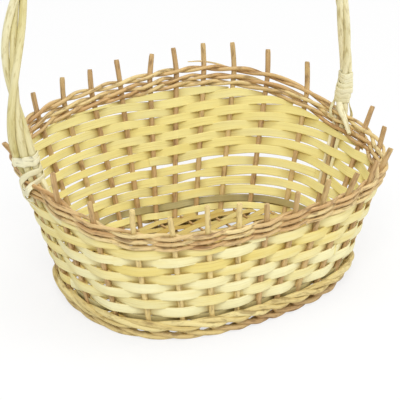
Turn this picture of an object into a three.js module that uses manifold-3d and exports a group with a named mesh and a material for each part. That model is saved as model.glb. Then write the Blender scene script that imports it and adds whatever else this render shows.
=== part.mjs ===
// Hand-woven oval gift basket of willow and flat splint, with a tall lashed handle.
// Millimetres, +Z up. X runs along the handle, -Y is the low front of the rim.
import * as THREE from 'three';
import Module from 'manifold-3d';
import { mergeVertices } from 'three/addons/utils/BufferGeometryUtils.js';

// Outlines of the rim and of the foot, and where the foot sits under the rim
const RIM_HALF_LENGTH = 180;
const RIM_HALF_WIDTH = 133.5;
const RIM_SQUARENESS = 2.8;
const FOOT_HALF_LENGTH = 135;
const FOOT_HALF_WIDTH = 104;
const FOOT_SQUARENESS = 2.45;
const FOOT_SHIFT_X = -15;
const FOOT_SHIFT_Y = -18;

// Rim line: mean height, rise to the back, rise to the left, and sag at both ends
const RIM_HEIGHT = 128.5;
const RIM_RISE_BACK = 20.5;
const RIM_RISE_LEFT = 5.4;
const RIM_END_SAG = 3.7;

// Upright stakes, and how far hand work lets their spacing drift, in spaces
const STAKE_COUNT = 28;
const STAKE_RADIUS = 2.2;
const STUB_LENGTH = 18.6;
const STAKE_PHASE = -0.58;
const DRIFT_ONCE_ROUND = -0.1;
const DRIFT_TWICE_ROUND = 0.45;
const LEFT_HANDLE_STAKE = 0;
const RIGHT_HANDLE_STAKE = 15;
const LEFT_HANDLE_SHIFT = -0.15;
const RIGHT_HANDLE_SHIFT = -0.36;
const HANDLE_SHIFT_REACH = 2;

// Foot border: each stake is turned down and laid along the foot over this many spaces
const LAY_STRANDS = 3;
const LAY_LENGTH = 2.55;
const BEND_LENGTH = 0.12;
const FOOT_CUT = 0.5;

// Wale above the foot
const WALE_RADIUS = 2.8;
const WALE_RODS = 3;
const WALE_END_GAP = 0.04;

// Flat splint rows, counted up the low front wall and up the high back wall
const ROWS_AT_FRONT = 7;
const ROWS_AT_BACK = 13;
const ROOM_ABOVE_ROWS = 2.2;
const SPLINT_GAP = 1;
const SPLINT_THICKNESS = 0.8;

// Twined pairs of the top border
const TWINE_RADIUS = 1.4;
const TWINE_PAIRS = 3;
const TWINE_SEE_THROUGH = 0.8;
const TWINE_SEE_THROUGH_RISE = 1.2;

// Handle rods, thickest at the left end
const HANDLE_LEFT_RADIUS = 4.6;
const HANDLE_RIGHT_RADIUS = 3.1;
const HANDLE_RODS = 3;
const HANDLE_RISE = 312;
const HANDLE_TWIST_THIRDS = 10;
const HANDLE_END_SPREAD = 5.6;
const HANDLE_RIM_RADIUS = 2.6;
const HANDLE_TIP_RADIUS = 1.5;
const HANDLE_END_HEIGHT = 42;
const HANDLE_GATHER = 12;
const INNER_TIP_DROP = 26;

// Lashing straps
const STRAP_WIDTH = 4.4;
const STRAP_THICKNESS = 1;
const LEFT_STRAP_TURNS = 1.6;
const RIGHT_STRAP_TURNS = 5.2;
const STRAP_LIFT = 11;
const STRAP_PITCH = 5;
const CROSS_TOP_SPACE = 0.5;
const CROSS_FOOT_SPACE = 0.34;

// Floor
const FLOOR_STICK_RADIUS = 1.8;
const FLOOR_STICK_SPACES = [3.5, 7.5, 11.5];
const FLOOR_STICK_BED = 0.6;
const FLOOR_THICKNESS = 1.4;
const FLOOR_EDGE_GAP = 1.3;

// Gap that touching pieces keep
const CLEARANCE = 0.3;

// Fineness of the mesh: sides of a round section, and steps along a run
const THIN_SIDES = 5;
const THICK_SIDES = 6;
const OUTLINE_STEPS = 1440;
const STAKE_STEPS = 4;
const LAY_STEP = 0.25;
const WALE_STEPS_PER_STAKE = 3;
const HANDLE_STEPS = 44;
const COIL_STEPS_PER_TURN = 12;

// Where a weaver crosses over, and how close beside a handle foot it is held, in spaces
const CROSSING = 0.5;
const BESIDE_HANDLE = 0.22;

const BROWN_WILLOW = { color: 0xb98a5e, roughness: 0.75, metalness: 0 };
const TAN_WILLOW = { color: 0xc7a06c, roughness: 0.72, metalness: 0 };
const GREEN_WILLOW = { color: 0xd2c58a, roughness: 0.7, metalness: 0 };
const YELLOW_SPLINT = { color: 0xe6cf78, roughness: 0.65, metalness: 0 };
const PEELED_WILLOW = { color: 0xdfd79a, roughness: 0.6, metalness: 0 };
const PALE_STRAP = { color: 0xe4dfb4, roughness: 0.65, metalness: 0 };

// Sizes that follow from the ones above
const layRadius = (2 * STAKE_RADIUS + CLEARANCE) / (2 * Math.sin(Math.PI / LAY_STRANDS));
const layHeight = layRadius + STAKE_RADIUS * Math.cos(Math.PI / THIN_SIDES) - FOOT_CUT;
const stickBed = layHeight + FLOOR_STICK_BED * layRadius + STAKE_RADIUS;
const stickHeight = stickBed + CLEARANCE + FLOOR_STICK_RADIUS;
const floorBottom = stickHeight + FLOOR_STICK_RADIUS + CLEARANCE;
const waleOffset = STAKE_RADIUS + WALE_RADIUS + CLEARANCE;
const waleRise = 1.2 * WALE_RADIUS + CLEARANCE / 2;
const waleHalfHeight = waleRise / Math.sin(Math.PI / 3) + WALE_RADIUS;
const waleHeight = floorBottom + waleHalfHeight;
const rowsBottom = waleHeight + waleHalfHeight + CLEARANCE;
const twineRise = TWINE_RADIUS + CLEARANCE / 2;
const twinePairHeight = 2 * (twineRise + TWINE_RADIUS);
const twineOffset = STAKE_RADIUS + TWINE_RADIUS + CLEARANCE;
const twineOffsetAtHandle = HANDLE_RIM_RADIUS + TWINE_RADIUS + CLEARANCE;
const splintOffset = STAKE_RADIUS + SPLINT_THICKNESS / 2 + CLEARANCE;
const splintOffsetAtHandle = HANDLE_RIM_RADIUS + SPLINT_THICKNESS / 2 + CLEARANCE;

const wasm = await Module();
wasm.setup();

// Point of a rounded oval at an angle
function oval(halfLength, halfWidth, squareness, angle) {
  const power = (value) => Math.sign(value) * Math.abs(value) ** (2 / squareness);
  return new THREE.Vector2(halfLength * power(Math.cos(angle)), halfWidth * power(Math.sin(angle)));
}

// Outline of the wall at a share of the rim height
function wallOutline(angle, share) {
  const foot = oval(FOOT_HALF_LENGTH, FOOT_HALF_WIDTH, FOOT_SQUARENESS, angle);
  const rim = oval(RIM_HALF_LENGTH, RIM_HALF_WIDTH, RIM_SQUARENESS, angle);
  return foot.add(new THREE.Vector2(FOOT_SHIFT_X, FOOT_SHIFT_Y)).lerp(rim, share);
}

// Running length of the outline halfway up, counted from the left end and round by the front
function measureOutline(steps) {
  const lengths = [0];
  let previous = wallOutline(Math.PI, 0.5);
  for (let i = 1; i <= steps; i += 1) {
    const next = wallOutline(Math.PI + (2 * Math.PI * i) / steps, 0.5);
    lengths.push(lengths[i - 1] + next.distanceTo(previous));
    previous = next;
  }
  return lengths;
}
const outlineLengths = measureOutline(OUTLINE_STEPS);

// Each handle foot stands off its even place and draws its neighbours along
function handleShift(space, stake, shift) {
  const half = STAKE_COUNT / 2;
  const away = Math.abs(THREE.MathUtils.euclideanModulo(space - stake + half, STAKE_COUNT) - half);
  return shift * Math.max(0, 1 - away / HANDLE_SHIFT_REACH);
}

// Angle on the outline of a place counted in stake spaces
function outlineAngle(space) {
  const turn = (2 * Math.PI * space) / STAKE_COUNT;
  const drift = DRIFT_ONCE_ROUND * Math.cos(turn) + DRIFT_TWICE_ROUND * Math.sin(2 * turn);
  const shift = handleShift(space, LEFT_HANDLE_STAKE, LEFT_HANDLE_SHIFT)
    + handleShift(space, RIGHT_HANDLE_STAKE, RIGHT_HANDLE_SHIFT);
  const share = (space + STAKE_PHASE + drift + shift) / STAKE_COUNT;
  const target = (share - Math.floor(share)) * outlineLengths[OUTLINE_STEPS];
  let low = 0;
  let high = OUTLINE_STEPS;
  while (high - low > 1) {
    const middle = (low + high) >> 1;
    if (outlineLengths[middle] <= target) low = middle;
    else high = middle;
  }
  const part = (target - outlineLengths[low]) / (outlineLengths[high] - outlineLengths[low]);
  return Math.PI + (2 * Math.PI * (low + part)) / OUTLINE_STEPS;
}

function rimHeightAt(angle) {
  const rise = RIM_RISE_BACK * Math.sin(angle) - RIM_RISE_LEFT * Math.cos(angle);
  return RIM_HEIGHT + rise - RIM_END_SAG * Math.cos(2 * angle);
}

function rimHeight(space) {
  return rimHeightAt(outlineAngle(space));
}

// Middle of the wall at a place and a height
function wallMiddle(space, z) {
  const point = wallOutline(outlineAngle(space), z / RIM_HEIGHT);
  return new THREE.Vector3(point.x, point.y, z);
}

// Level direction along the wall
function wallAlong(space, z) {
  const step = 0.02;
  return wallMiddle(space + step, z).sub(wallMiddle(space - step, z)).normalize();
}

// Direction square to the wall, pointing out of the basket
function wallOut(space, z) {
  const step = 0.5;
  const up = wallMiddle(space, z + step).sub(wallMiddle(space, z - step));
  return wallAlong(space, z).cross(up).normalize();
}

function onWall(space, z, offset = 0) {
  return wallMiddle(space, z).addScaledVector(wallOut(space, z), offset);
}

// Solid skinned over rings of points; a closed run joins its last ring to its first
function skin(rings, closed) {
  const size = rings[0].length;
  const positions = rings.flat().flatMap((p) => [p.x, p.y, p.z]);
  const index = [];
  const spans = closed ? rings.length : rings.length - 1;
  for (let i = 0; i < spans; i += 1) {
    const next = (i + 1) % rings.length;
    for (let j = 0; j < size; j += 1) {
      const k = (j + 1) % size;
      index.push(i * size + j, i * size + k, next * size + k);
      index.push(i * size + j, next * size + k, next * size + j);
    }
  }
  if (!closed) {
    const last = (rings.length - 1) * size;
    for (let j = 1; j < size - 1; j += 1) {
      index.push(0, j + 1, j);
      index.push(last, last + j, last + j + 1);
    }
  }
  const geometry = new THREE.BufferGeometry();
  geometry.setAttribute('position', new THREE.Float32BufferAttribute(positions, 3));
  geometry.setIndex(index);
  return geometry;
}

// Sweep of a flat outline along stations, each with a place, a reference direction, a scale and,
// where it differs, a scale for the width
function sweep(stations, outline, closed) {
  const count = stations.length;
  const rings = stations.map((station, i) => {
    const before = stations[closed ? (i + count - 1) % count : Math.max(i - 1, 0)].at;
    const after = stations[closed ? (i + 1) % count : Math.min(i + 1, count - 1)].at;
    const along = after.clone().sub(before).normalize();
    const out = station.out.clone().addScaledVector(along, -station.out.dot(along)).normalize();
    const side = out.clone().cross(along);
    const { scale, widthScale = scale } = station;
    return outline.map(([a, b]) => station.at.clone()
      .addScaledVector(side, a * widthScale)
      .addScaledVector(out, b * scale));
  });
  return skin(rings, closed);
}

// Round section with its sides counted from a flat that faces a given way
function roundOutline(sides, flatAt = -Math.PI / 2) {
  return Array.from({ length: sides }, (_, i) => {
    const angle = (2 * Math.PI * (i + 0.5)) / sides + flatAt;
    return [Math.cos(angle), Math.sin(angle)];
  });
}

function flatOutline(width, thickness) {
  const a = width / 2;
  const b = thickness / 2;
  return [[-a, -b], [a, -b], [a, b], [-a, b]];
}

function isHandleStake(index) {
  const place = (index + STAKE_COUNT) % STAKE_COUNT;
  return place === LEFT_HANDLE_STAKE || place === RIGHT_HANDLE_STAKE;
}

// Places where a weaver is held: at each stake, both sides of a handle foot, and halfway between
function weaverPlaces(from, to) {
  const places = [];
  for (let i = Math.ceil(from - 1); i <= Math.floor(to); i += 1) {
    if (isHandleStake(i)) places.push(i - BESIDE_HANDLE, i + BESIDE_HANDLE, i + CROSSING);
    else places.push(i, i + CROSSING);
  }
  return places.filter((place) => place >= from && place < to);
}

// The same for a weaver that closes on itself
function ringPlaces() {
  return weaverPlaces(0, STAKE_COUNT);
}

function isEven(number) {
  return Math.abs(number) % 2 === 0;
}

// Side on which a weaver passes, +1 and -1 at successive stakes and 0 where it crosses over
function swing(space) {
  const nearest = Math.round(space);
  if (Math.abs(space - nearest) > (CROSSING + BESIDE_HANDLE) / 2) return 0;
  return isEven(nearest) ? 1 : -1;
}

const basket = new THREE.Group();

function addPiece(name, geometry, finish) {
  geometry.computeVertexNormals();
  const mesh = new THREE.Mesh(geometry, new THREE.MeshStandardMaterial(finish));
  mesh.name = name;
  basket.add(mesh);
}

// Stakes, each turned down at the bottom into its own lay of the foot border
function stakeStations(index) {
  const top = isHandleStake(index) ? rimHeight(index) - CLEARANCE : rimHeight(index) + STUB_LENGTH;
  const layTop = layHeight + layRadius;
  const bendTop = layTop + 2 * STAKE_RADIUS;
  const stations = [];
  const put = (space, z, offset) => {
    stations.push({ at: onWall(space, z, offset), out: wallOut(space, z), scale: STAKE_RADIUS });
  };
  for (let i = 0; i <= STAKE_STEPS; i += 1) {
    put(index, THREE.MathUtils.lerp(top, bendTop, i / STAKE_STEPS), 0);
  }
  put(index + BEND_LENGTH / 4, layTop + STAKE_RADIUS / 2, 0);
  put(index + BEND_LENGTH, layTop, 0);
  for (let run = LAY_STEP; run < LAY_LENGTH; run += LAY_STEP) {
    const turn = Math.PI / 2 - (2 * Math.PI * run) / LAY_STRANDS;
    put(index + run, layHeight + layRadius * Math.sin(turn), layRadius * Math.cos(turn));
  }
  return stations;
}

// The foot is cut flat where it stands
function cutFlat(geometry) {
  const position = geometry.attributes.position;
  for (let i = 0; i < position.count; i += 1) {
    position.setZ(i, Math.max(position.getZ(i), 0));
  }
  return geometry;
}

for (let index = 0; index < STAKE_COUNT; index += 1) {
  const geometry = cutFlat(sweep(stakeStations(index), roundOutline(THIN_SIDES, Math.PI), false));
  addPiece(`stake_${String(index + 1).padStart(2, '0')}`, geometry, BROWN_WILLOW);
}

// Wale: each rod starts behind its own stake, passes outside two stakes and inside the third,
// over the rod before it, and stops where another rod started
function waleRod(first) {
  const last = STAKE_COUNT + THREE.MathUtils.euclideanModulo(first - STAKE_COUNT, WALE_RODS);
  const steps = (last - first) * WALE_STEPS_PER_STAKE;
  return Array.from({ length: steps + 1 }, (_, i) => {
    const space = Math.min(first + i / WALE_STEPS_PER_STAKE, last - WALE_END_GAP);
    const share = (space - first) / WALE_RODS;
    const phase = share - Math.round(share);
    const inward = Math.abs(phase) < 1 / 3 ? Math.cos(1.5 * Math.PI * phase) ** 2 : 0;
    const rise = (waleRise * Math.sin(2 * Math.PI * phase)) / Math.sin(Math.PI / 3);
    const z = waleHeight + rise;
    const at = onWall(space, z, waleOffset * (1 - 2 * inward));
    return { at, out: wallOut(space, z), scale: WALE_RADIUS };
  });
}

for (let rod = 0; rod < WALE_RODS; rod += 1) {
  addPiece(`wale_rod_${rod + 1}`, sweep(waleRod(rod), roundOutline(THIN_SIDES), false), GREEN_WILLOW);
}

// Depth of the see-through slot under the upper twined pair
function seeThroughAt(angle) {
  return TWINE_SEE_THROUGH + TWINE_SEE_THROUGH_RISE * Math.sin(angle);
}

function borderBottomAt(angle) {
  return rimHeightAt(angle) - TWINE_PAIRS * (twinePairHeight + CLEARANCE) - seeThroughAt(angle);
}

function borderBottom(space) {
  return borderBottomAt(outlineAngle(space));
}

// Twined pairs of the top border, the upper one standing off from the two below it
function twineStrand(pair, half) {
  const side = (half === 0 ? 1 : -1) * (isEven(pair) ? 1 : -1);
  return ringPlaces().map((space) => {
    const gap = pair > 0 ? seeThroughAt(outlineAngle(space)) : 0;
    const middle = rimHeight(space) - (pair + 0.5) * twinePairHeight - pair * CLEARANCE - gap;
    const rise = isEven(Math.floor(space)) ? twineRise : -twineRise;
    const z = swing(space) === 0 ? middle + side * rise : middle;
    const reach = isHandleStake(Math.round(space)) ? twineOffsetAtHandle : twineOffset;
    const at = onWall(space, z, side * swing(space) * reach);
    return { at, out: wallOut(space, z), scale: TWINE_RADIUS };
  });
}

for (let pair = 0; pair < TWINE_PAIRS; pair += 1) {
  for (let half = 0; half < 2; half += 1) {
    const geometry = sweep(twineStrand(pair, half), roundOutline(THIN_SIDES), true);
    addPiece(`border_pair_${pair + 1}_rod_${half + 1}`, geometry, TAN_WILLOW);
  }
}

// Spacing of the rows, which fill the wall under the border at the front and at the back
const frontPitch = (borderBottomAt(-Math.PI / 2) - ROOM_ABOVE_ROWS - rowsBottom) / ROWS_AT_FRONT;
const backPitch = (borderBottomAt(Math.PI / 2) - ROOM_ABOVE_ROWS - rowsBottom) / ROWS_AT_BACK;
const splintWidth = backPitch - SPLINT_GAP;

function rowPitch(space) {
  return THREE.MathUtils.lerp(frontPitch, backPitch, (1 + Math.sin(outlineAngle(space))) / 2);
}

// Rows of flat splint: whole rounds at the bottom, part rounds where the rim rises at the back
function roomForRow(row, space) {
  const nearest = Math.round(space);
  const strapRoom = isHandleStake(nearest) ? STRAP_THICKNESS + 2 * CLEARANCE : 0;
  const top = rowsBottom + (row + 1) * rowPitch(space);
  return top + strapRoom + CLEARANCE <= borderBottom(space);
}

function rowSpan(row) {
  const backMiddle = (STAKE_COUNT * 3) / 4;
  const step = 0.05;
  let from = backMiddle;
  let to = backMiddle;
  while (to - from < STAKE_COUNT && roomForRow(row, from - step)) from -= step;
  while (to - from < STAKE_COUNT && roomForRow(row, to + step)) to += step;
  return { from, to, whole: to - from >= STAKE_COUNT };
}

function splintStation(row, space) {
  const nearest = Math.round(space);
  const reach = isHandleStake(nearest) ? splintOffsetAtHandle : splintOffset;
  const side = isEven(row) ? 1 : -1;
  const pitch = rowPitch(space);
  const z = rowsBottom + (row + 0.5) * pitch;
  const at = onWall(space, z, side * swing(space) * reach);
  return { at, out: wallOut(space, z), scale: 1, widthScale: pitch / backPitch };
}

function addSplintRows() {
  const outline = flatOutline(splintWidth, SPLINT_THICKNESS);
  for (let row = 0; row < ROWS_AT_BACK; row += 1) {
    const { from, to, whole } = rowSpan(row);
    const places = whole ? ringPlaces() : weaverPlaces(from, to);
    const stations = places.map((space) => splintStation(row, space));
    const geometry = sweep(stations, outline, whole);
    addPiece(`splint_row_${String(row + 1).padStart(2, '0')}`, geometry, YELLOW_SPLINT);
  }
}
addSplintRows();

// Handle: shares of the half span and of the rise, from the left foot over to the right
const ARCH_SHAPE = [
  [-1, 0], [-1.06, 0.14], [-1.085, 0.34], [-1.045, 0.54], [-0.955, 0.74], [-0.77, 0.9], [-0.42, 0.985],
  [-0.03, 1], [0.36, 0.97], [0.64, 0.885], [0.84, 0.74], [0.935, 0.56], [0.985, 0.37], [1.03, 0.15], [1, 0],
];

// Radius of a rod at a share of the handle's length
function rodRadius(share) {
  return THREE.MathUtils.lerp(HANDLE_LEFT_RADIUS, HANDLE_RIGHT_RADIUS, share);
}

// Radius of the circle that the rods twist on
function twistRadius(share) {
  return (2 * rodRadius(share) + CLEARANCE) / (2 * Math.sin(Math.PI / HANDLE_RODS));
}

function archCurve() {
  const left = onWall(LEFT_HANDLE_STAKE, rimHeight(LEFT_HANDLE_STAKE), -twistRadius(0) / 2);
  const right = onWall(RIGHT_HANDLE_STAKE, rimHeight(RIGHT_HANDLE_STAKE), -twistRadius(1) / 2);
  const points = ARCH_SHAPE.map(([across, up]) => left.clone()
    .lerp(right, (across + 1) / 2)
    .add(new THREE.Vector3(0, 0, up * HANDLE_RISE)));
  return new THREE.CatmullRomCurve3(points, false, 'centripetal');
}
const arch = archCurve();
const archLength = arch.getLength();

// Cross directions of the arch: one level and one square to it, pointing out of the basket
function archFrame(distance) {
  const share = distance / archLength;
  const along = arch.getTangentAt(share);
  const level = new THREE.Vector3(0, 1, 0);
  level.addScaledVector(along, -level.dot(along)).normalize();
  return { middle: arch.getPointAt(share), level, out: along.clone().cross(level) };
}

// End of a handle rod inside the wall, listed upwards from its tip
function rodEnd(rod, stake, levelSign) {
  const level = new THREE.Vector3(0, 1, 0);
  const rim = rimHeight(stake);
  const inner = rod === 2;
  const steps = inner ? 2 : 6;
  const bottom = inner ? rim - INNER_TIP_DROP : HANDLE_END_HEIGHT;
  const stations = [];
  for (let i = 0; i <= steps; i += 1) {
    const z = THREE.MathUtils.lerp(bottom, rim, i / steps);
    const scale = THREE.MathUtils.lerp(HANDLE_TIP_RADIUS, HANDLE_RIM_RADIUS, i / steps);
    const offset = inner ? -(twineOffsetAtHandle + TWINE_RADIUS + CLEARANCE + scale) : 0;
    const at = onWall(stake, z, offset);
    const along = wallAlong(stake, z);
    if (!inner) at.addScaledVector(along, levelSign * Math.sign(along.y) * HANDLE_END_SPREAD);
    stations.push({ at, out: level, scale });
  }
  return stations;
}

function handleRod(rod) {
  const third = (2 * Math.PI) / HANDLE_RODS;
  const level = new THREE.Vector3(0, 1, 0);
  const middle = [];
  for (let i = 0; i <= HANDLE_STEPS; i += 1) {
    const share = i / HANDLE_STEPS;
    const distance = THREE.MathUtils.lerp(HANDLE_GATHER, archLength - HANDLE_GATHER, share);
    const frame = archFrame(distance);
    const turn = third * (rod + 0.25 + HANDLE_TWIST_THIRDS * share);
    const at = frame.middle.clone()
      .addScaledVector(frame.level, twistRadius(share) * Math.cos(turn))
      .addScaledVector(frame.out, twistRadius(share) * Math.sin(turn));
    middle.push({ at, out: level, scale: rodRadius(share) });
  }
  const endSlot = (rod + HANDLE_TWIST_THIRDS) % HANDLE_RODS;
  const leftEnd = rodEnd(rod, LEFT_HANDLE_STAKE, rod === 0 ? 1 : -1);
  const rightEnd = rodEnd(endSlot, RIGHT_HANDLE_STAKE, endSlot === 0 ? 1 : -1).reverse();
  return [...leftEnd, ...middle, ...rightEnd];
}

for (let rod = 0; rod < HANDLE_RODS; rod += 1) {
  addPiece(`handle_rod_${rod + 1}`, sweep(handleRod(rod), roundOutline(THICK_SIDES), false), PEELED_WILLOW);
}

// Lashings: a strap wound round the pole, and crossed over the border below it
function toManifold(geometry) {
  const merged = mergeVertices(geometry.clone());
  return new wasm.Manifold(new wasm.Mesh({
    numProp: 3,
    vertProperties: new Float32Array(merged.attributes.position.array),
    triVerts: new Uint32Array(merged.index.array),
  }));
}

function fromManifold(solid) {
  const mesh = solid.getMesh();
  const geometry = new THREE.BufferGeometry();
  geometry.setAttribute('position', new THREE.Float32BufferAttribute(mesh.vertProperties, 3));
  geometry.setIndex(Array.from(mesh.triVerts));
  return geometry;
}

// Height of a strap where it lies on top of the border
function strapTop(space) {
  return rimHeight(space) + CLEARANCE + STRAP_THICKNESS / 2;
}

// A strap crossed round the border from one side of the foot to the other
function crossStrap(stake, side) {
  const bend = 1;
  const outer = twineOffsetAtHandle + TWINE_RADIUS + CLEARANCE + STRAP_THICKNESS;
  const innerTip = outer + 2 * HANDLE_RIM_RADIUS + CLEARANCE;
  const start = stake - side * CROSS_TOP_SPACE;
  const end = stake + side * CROSS_FOOT_SPACE;
  const high = strapTop(start);
  const low = borderBottom(end) - CLEARANCE - STRAP_THICKNESS / 2;
  const middle = (high + low) / 2;
  const path = [
    [start, high, 0, 1], [start, high - bend, outer, 0],
    [stake, middle, outer, 0], [end, low + bend, outer, 0],
    [end, low, 0, -1], [end, low + bend, -outer, 0],
    [stake, middle, -innerTip, 0], [start, high - bend, -outer, 0],
  ];
  return path.map(([space, z, offset, lift]) => ({
    at: onWall(space, z, offset),
    out: wallOut(stake, z).multiplyScalar(Math.sign(offset)).add(new THREE.Vector3(0, 0, lift)),
    scale: 1,
  }));
}

// Radius of a strap round the pole, clear of the rods where they spread to pass the rim
function coilRadius(share) {
  const pole = twistRadius(share) + rodRadius(share);
  return Math.max(pole, HANDLE_END_SPREAD + HANDLE_RIM_RADIUS) + CLEARANCE + STRAP_THICKNESS / 2;
}

// The strap leaves the border beside the pole and climbs round it
function coilStrap(stake) {
  const atLeft = stake === LEFT_HANDLE_STAKE;
  const startSpace = stake + (atLeft ? -1 : 1) * CROSS_TOP_SPACE;
  const start = onWall(startSpace, strapTop(startSpace), 0);
  const leadIn = 0.3;
  const radius = coilRadius(atLeft ? 0 : 1);
  const steps = Math.round((atLeft ? LEFT_STRAP_TURNS : RIGHT_STRAP_TURNS) * COIL_STEPS_PER_TURN);
  const stations = [];
  for (let i = 0; i <= steps; i += 1) {
    const turns = i / COIL_STEPS_PER_TURN;
    const height = STRAP_WIDTH + STRAP_LIFT + STRAP_PITCH * Math.max(turns - leadIn, 0);
    const frame = archFrame(atLeft ? height : archLength - height);
    const angle = 2 * Math.PI * turns;
    const out = frame.level.clone().multiplyScalar(Math.cos(angle))
      .addScaledVector(frame.out, Math.sin(angle));
    const round = frame.middle.clone().addScaledVector(out, radius);
    const at = start.clone().lerp(round, THREE.MathUtils.smoothstep(turns, 0, leadIn));
    stations.push({ at, out, scale: 1 });
  }
  return stations;
}

function addLashing(name, stake) {
  const outline = flatOutline(STRAP_WIDTH, STRAP_THICKNESS);
  const coil = toManifold(sweep(coilStrap(stake), outline, false));
  const crossA = toManifold(sweep(crossStrap(stake, 1), outline, true));
  const crossB = toManifold(sweep(crossStrap(stake, -1), outline, true));
  addPiece(name, fromManifold(coil.add(crossA).add(crossB)), PALE_STRAP);
}

addLashing('lashing_left', LEFT_HANDLE_STAKE);
addLashing('lashing_right', RIGHT_HANDLE_STAKE);

// Floor: cross sticks resting on the foot border, and the mat of splints on them
function addFloorSticks() {
  FLOOR_STICK_SPACES.forEach((space, i) => {
    const stations = [space, STAKE_COUNT - space].map((place) => ({
      at: onWall(place, stickHeight, 0),
      out: new THREE.Vector3(0, 0, 1),
      scale: FLOOR_STICK_RADIUS,
    }));
    addPiece(`floor_stick_${i + 1}`, sweep(stations, roundOutline(THICK_SIDES), false), BROWN_WILLOW);
  });
}

function addFloorMat() {
  const edgeInset = STAKE_RADIUS + FLOOR_EDGE_GAP;
  const shape = new THREE.Shape();
  const points = Array.from({ length: 2 * STAKE_COUNT }, (_, i) => {
    const at = onWall(i / 2, floorBottom + FLOOR_THICKNESS, -edgeInset);
    return new THREE.Vector2(at.x, at.y);
  });
  shape.setFromPoints(points);
  const geometry = new THREE.ExtrudeGeometry(shape, { depth: FLOOR_THICKNESS, bevelEnabled: false });
  geometry.translate(0, 0, floorBottom);
  geometry.deleteAttribute('normal');
  geometry.deleteAttribute('uv');
  addPiece('floor_mat', mergeVertices(geometry), YELLOW_SPLINT);
}

addFloorSticks();
addFloorMat();

// The origin lies under the middle of the basket's outline
const bounds = new THREE.Box3().setFromObject(basket);
const centre = bounds.getCenter(new THREE.Vector3());
basket.position.set(-centre.x, -centre.y, -bounds.min.z);

const part = new THREE.Group();
part.add(basket);
part.updateMatrixWorld(true);

export default part;
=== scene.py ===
"""Looks of the gift basket: willow stakes, wale, splint rows, twined border, twisted handle and floor."""
import math

import bpy
import numpy as np
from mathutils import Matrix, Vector


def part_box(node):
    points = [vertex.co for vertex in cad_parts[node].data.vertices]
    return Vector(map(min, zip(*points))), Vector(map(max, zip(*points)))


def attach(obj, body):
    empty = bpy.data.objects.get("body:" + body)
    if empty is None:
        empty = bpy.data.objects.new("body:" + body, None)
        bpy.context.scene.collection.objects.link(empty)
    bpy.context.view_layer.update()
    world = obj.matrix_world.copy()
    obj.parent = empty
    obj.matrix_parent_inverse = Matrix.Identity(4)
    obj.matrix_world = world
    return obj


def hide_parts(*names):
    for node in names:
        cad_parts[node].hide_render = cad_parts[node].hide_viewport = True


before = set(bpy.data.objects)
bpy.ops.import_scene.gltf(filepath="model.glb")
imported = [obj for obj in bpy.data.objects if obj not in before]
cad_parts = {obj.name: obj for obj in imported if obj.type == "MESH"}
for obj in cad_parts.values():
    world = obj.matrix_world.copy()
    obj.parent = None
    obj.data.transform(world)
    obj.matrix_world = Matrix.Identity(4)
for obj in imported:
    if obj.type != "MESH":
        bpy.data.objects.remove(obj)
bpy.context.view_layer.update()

MM = 0.001

# Sizes are in millimetres. Places on the rim are counted in stake spaces from the left end, along the
# front to the right end and back along the far side. STAKE_ROD, LAY_ROD and BORDER_ROD are the radii that
# are shown, as the photo's weave is tighter than the frame's

# Outlines of the rim and of the foot, as the frame has them
RIM_HALF = (180, 133.5)
RIM_SQUARENESS = 2.8
FOOT_HALF = (135, 104)
FOOT_SQUARENESS = 2.45
FOOT_SHIFT = (-15, -18)
RIM_HEIGHT = 128.5
RIM_RISE_BACK = 20.5
RIM_RISE_LEFT = 5.4
RIM_END_SAG = 3.7
OUTLINE_SAMPLES = 1441
CLEARANCE = 0.3

# Stakes
STAKE_COUNT = 28
STAKE_RADIUS = 2.2
STAKE_SIDES = 5
STAKE_ROD = 2.65
STUB_LENGTH = 18.6
LEAN_DEPTH = 6
STAKE_PHASE = -0.58
DRIFT_ONCE_ROUND = -0.1
DRIFT_TWICE_ROUND = 0.45
WALL_SAMPLES = 64

# Stakes behind the poles of the handle, and how far each is shifted with its neighbours
LEFT_POLE = 0
RIGHT_POLE = 15
POLE_SHIFTS = {LEFT_POLE: -0.15, RIGHT_POLE: -0.36}
POLE_SHIFT_REACH = 2

# Stub of each stake above the border: how much longer it is than the usual one, and its lean towards
# the right end
STUBS = {
    1: (9, 3.8), 2: (1, 0.8), 3: (4, 2.9), 4: (0, -1.5), 5: (9, 0), 6: (6, -0.5), 7: (-2, -2.2),
    8: (1, -2.6), 9: (4, -0.6), 10: (0, 3), 12: (-4, 3.5), 13: (-1, -3), 14: (0.5, 1), 16: (7, -7),
    17: (3, -4.5), 18: (4, -6), 19: (2, -3), 20: (0.5, -4.2), 21: (-2, 3.8), 22: (0.5, -0.4),
    23: (-2, 3.4), 24: (-1, 6), 25: (-2, 3), 27: (-8, -7),
}

# Stakes that are pale on the wall, and stakes that are brown along the foot
PALE_STUBS = range(3, 7)
BROWN_LAYS = range(5, 12)

# Foot border
LAY_STRANDS = 3
LAY_START = 0.12
LAY_LENGTH = 2.55
LAY_MIDDLE = 5.3
LAY_RISE = 2.6
LAY_ROD = 2.7
LAY_TAPER = 16
LAY_SAMPLES = 58
FOOT_CUT = 0.5

# Where a stake turns down into the foot border: places beyond the stake, and heights in stake radii
LAY_BEND = ((0.004, 1.4), (0.012, 0.85), (0.03, 0.45), (0.065, 0.15))

# Wale; its rods are tucked in and pinched where they pass inside a stake
WALE_RADIUS = 2.8
WALE_RODS = 3
WALE_SPREAD = 1.2
WALE_RISE = 3.0
WALE_SINK = 1.0
WALE_TUCK = 0.62
WALE_PINCH = 0.4
WALE_END_GAP = 0.04
WALE_SAMPLES = 460

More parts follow.
